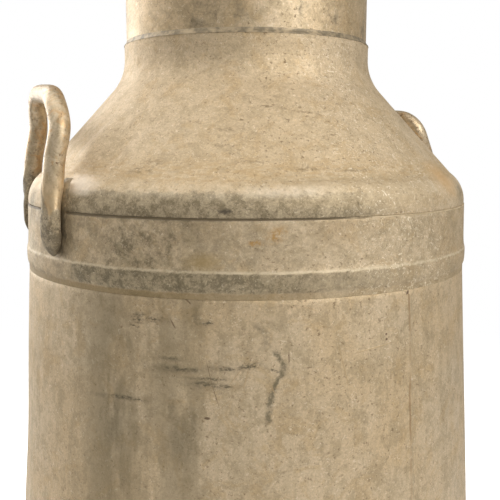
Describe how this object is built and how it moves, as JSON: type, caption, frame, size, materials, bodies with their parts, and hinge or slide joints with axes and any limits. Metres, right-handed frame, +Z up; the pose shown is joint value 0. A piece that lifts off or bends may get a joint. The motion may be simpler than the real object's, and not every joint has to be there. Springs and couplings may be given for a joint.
{
  "type": "milk can",
  "caption": "Tapered tinned-steel milk churn with a banded body, coned shoulder, narrow neck, two upright rod handles and a lift-out plug lid with a bar across its recess.",
  "frame": {"origin": "centre of the foot, on the ground", "axes": "+Z up along the can's axis, and -Y is the front. Counter-clockwise from +X seen from above, the right handle stands at 40.4 degrees and the left one at 201.5 degrees"},
  "size_m": [0.37, 0.37, 0.5938],
  "materials": {
    "tinned_sheet": "dull tinned sheet, warm grey, lightly scratched and stained",
    "worn_band": "darker dirty tinned sheet with speckled oxide",
    "bare_steel": "worn grey-brown steel hoop and wire",
    "handle_rod": "hand-polished steel rod with brown stains",
    "solder": "dull grey solder"
  },
  "bodies": {
    "can": {"foot_hoop": "bare_steel", "base_pan": "tinned_sheet", "base_solder": "solder", "body_shell": "tinned_sheet", "body_seam": "solder", "breast_band": "worn_band", "shoulder": "tinned_sheet", "shoulder_solder": "solder", "neck": "tinned_sheet", "neck_solder": "solder", "mouth_wire": "bare_steel", "left_handle": "handle_rod", "left_handle_solder": "solder", "right_handle": "handle_rod", "right_handle_solder": "solder"},
    "lid": {"lid_plug": "tinned_sheet", "lid_brim": "tinned_sheet", "lid_brim_wire": "bare_steel", "lid_grip": "handle_rod", "lid_grip_solder": "solder"}
  },
  "joints": [
    {"name": "lid_lift", "type": "slide", "parent": "can", "child": "lid", "axis": [0, 0, 1], "range_m": [0, 0.065]}
  ]
}
